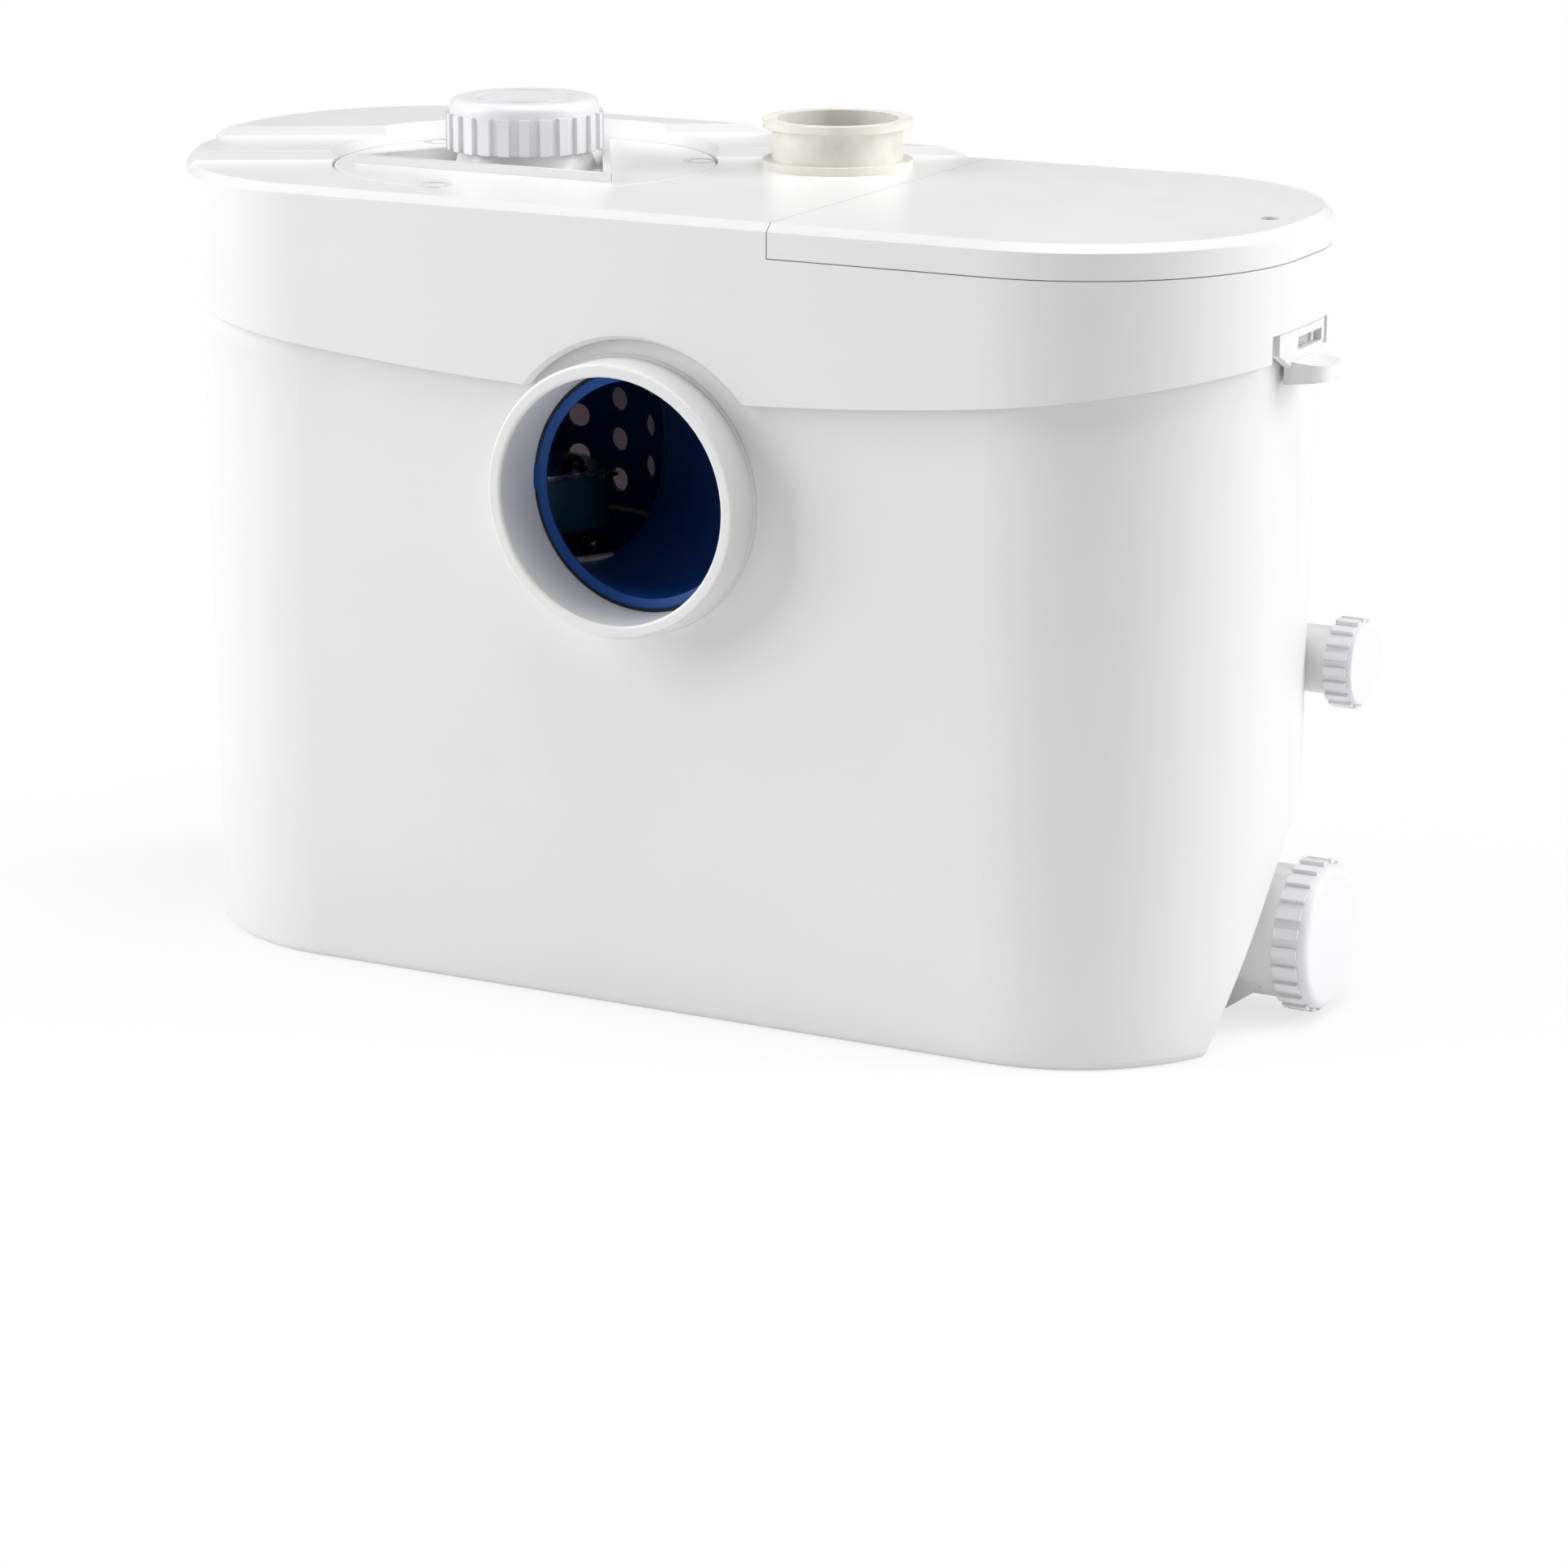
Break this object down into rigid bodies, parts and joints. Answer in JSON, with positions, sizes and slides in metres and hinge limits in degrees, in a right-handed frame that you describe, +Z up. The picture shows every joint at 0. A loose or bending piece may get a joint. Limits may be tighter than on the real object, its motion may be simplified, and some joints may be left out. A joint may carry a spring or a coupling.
{
  "type": "macerator toilet pump",
  "caption": "White oval macerator tank with a lift-off lid, front soil inlet, basket and cutter, capped side ports, ribbed caps and a top discharge collar.",
  "frame": {"origin": "centre of the flat underside of the tank, below the middle of its oval plan", "axes": "+X along the tank to the end with the two side ports, -Y is the front with the soil inlet, +Z up"},
  "size_m": [0.4686, 0.195, 0.3213],
  "materials": {
    "tank_plastic": "satin moulded white",
    "lid_plastic": "satin moulded white",
    "cap_plastic": "satin moulded white",
    "cream_rubber": "smooth moulded rubber",
    "black_rubber": "matt rubber",
    "blue_plastic": "moulded blue",
    "brown_rubber": "matt rubber",
    "teal_plastic": "moulded teal",
    "blade_steel": "ground blade",
    "nut_steel": "bright fasteners",
    "shaft_steel": "ground steel",
    "motor_metal": "die cast",
    "lamination_steel": "stacked laminations",
    "pump_plastic": "moulded black",
    "grey_plastic": "moulded grey",
    "white_inner_plastic": "moulded off-white"
  },
  "bodies": {
    "tank": {"tank": "tank_plastic", "rim_gasket": "black_rubber", "inlet_seal": "black_rubber", "inlet_chute": "blue_plastic", "basket_screen": "blue_plastic", "basket_band": "brown_rubber", "basket_pan": "blue_plastic", "pan_nuts": "nut_steel", "motor_can": "motor_metal", "motor_flange_cap": "motor_metal", "stator": "lamination_steel", "lower_bearing": "shaft_steel", "upper_bearing": "shaft_steel", "lower_shaft_seal": "black_rubber", "upper_shaft_seal": "black_rubber", "volute": "pump_plastic", "suction_plate": "pump_plastic", "pump_feet": "black_rubber", "discharge_hose": "black_rubber"},
    "rotor": {"shaft": "shaft_steel", "rotor_core": "lamination_steel", "impeller": "grey_plastic", "cutter_hub": "teal_plastic", "cutter_blade": "blade_steel", "cutter_nuts": "nut_steel"},
    "lid": {"lid": "lid_plastic", "discharge_collar": "cream_rubber", "valve_body": "grey_plastic", "flap_pin": "shaft_steel", "pressure_tube": "grey_plastic", "switch_cup": "grey_plastic", "diaphragm": "black_rubber", "switch_cover": "grey_plastic", "micro_switch": "pump_plastic", "terminal_block": "white_inner_plastic", "capacitor": "white_inner_plastic", "cable_grommet": "black_rubber"},
    "flap": {"valve_flap": "black_rubber"},
    "plunger": {"switch_plunger": "white_inner_plastic"},
    "latch_right": {"latch_right": "lid_plastic"},
    "latch_left": {"latch_left": "lid_plastic"},
    "service_cover": {"service_cover": "lid_plastic", "cover_seal": "black_rubber", "cover_screws": "cap_plastic"},
    "power_cover": {"power_cover": "lid_plastic", "power_screw": "nut_steel"},
    "top_cap_seat": {"top_cap_seal": "black_rubber"},
    "top_cap": {"top_cap": "cap_plastic"},
    "upper_side_seat": {"upper_side_seal": "black_rubber"},
    "upper_side_cap": {"upper_side_cap": "cap_plastic"},
    "lower_side_seat": {"lower_side_seal": "black_rubber"},
    "lower_side_cap": {"lower_side_cap": "cap_plastic"}
  },
  "joints": [
    {"name": "rotor_spin", "type": "hinge", "parent": "tank", "child": "rotor", "pos_m": [-0.093, 0, 0.1], "axis": [0, 0, 1], "continuous": true},
    {"name": "lid_lift", "type": "slide", "parent": "tank", "child": "lid", "axis": [0, 0, 1], "range_m": [0, 0.25]},
    {"name": "service_cover_lift", "type": "slide", "parent": "lid", "child": "service_cover", "axis": [0, 0, 1], "range_m": [0, 0.03]},
    {"name": "power_cover_lift", "type": "slide", "parent": "lid", "child": "power_cover", "axis": [0, 0, 1], "range_m": [0, 0.03]},
    {"name": "flap_swing", "type": "hinge", "parent": "lid", "child": "flap", "pos_m": [0.0164, 0.0616, 0.2559], "axis": [-1, 0, 0], "range_deg": [0, 70]},
    {"name": "plunger_press", "type": "slide", "parent": "lid", "child": "plunger", "axis": [0, 0, 1], "range_m": [0, 0.002], "stiffness_N_per_m": 100},
    {"name": "latch_right_flex", "type": "hinge", "parent": "lid", "child": "latch_right", "pos_m": [0.2223, 0, 0.2596], "axis": [0, -1, 0], "range_deg": [0, 8], "stiffness_Nm_per_rad": 2},
    {"name": "latch_left_flex", "type": "hinge", "parent": "lid", "child": "latch_left", "pos_m": [-0.2223, 0, 0.2596], "axis": [0, 1, 0], "range_deg": [0, 8], "stiffness_Nm_per_rad": 2},
    {"name": "top_cap_travel", "type": "slide", "parent": "service_cover", "child": "top_cap_seat", "axis": [0, 0, 1], "range_m": [0, 0.018]},
    {"name": "top_cap_turn", "type": "hinge", "parent": "top_cap_seat", "child": "top_cap", "pos_m": [-0.093, 0, 0.312], "axis": [0, 0, 1], "range_deg": [0, 1080]},
    {"name": "upper_side_travel", "type": "slide", "parent": "tank", "child": "upper_side_seat", "axis": [1, 0, 0], "range_m": [0, 0.01]},
    {"name": "upper_side_turn", "type": "hinge", "parent": "upper_side_seat", "child": "upper_side_cap", "pos_m": [0.225, 0.05, 0.1275], "axis": [1, 0, 0], "range_deg": [0, 720]},
    {"name": "lower_side_travel", "type": "slide", "parent": "tank", "child": "lower_side_seat", "axis": [1, 0, 0], "range_m": [0, 0.012]},
    {"name": "lower_side_turn", "type": "hinge", "parent": "lower_side_seat", "child": "lower_side_cap", "pos_m": [0.225, 0.025, 0.03], "axis": [1, 0, 0], "range_deg": [0, 720]}
  ],
  "couplings": [
    {"joint": "top_cap_travel", "follows": "top_cap_turn", "m_per_rad": 0.00095483},
    {"joint": "upper_side_travel", "follows": "upper_side_turn", "m_per_rad": 0.0007957},
    {"joint": "lower_side_travel", "follows": "lower_side_turn", "m_per_rad": 0.00095483}
  ]
}
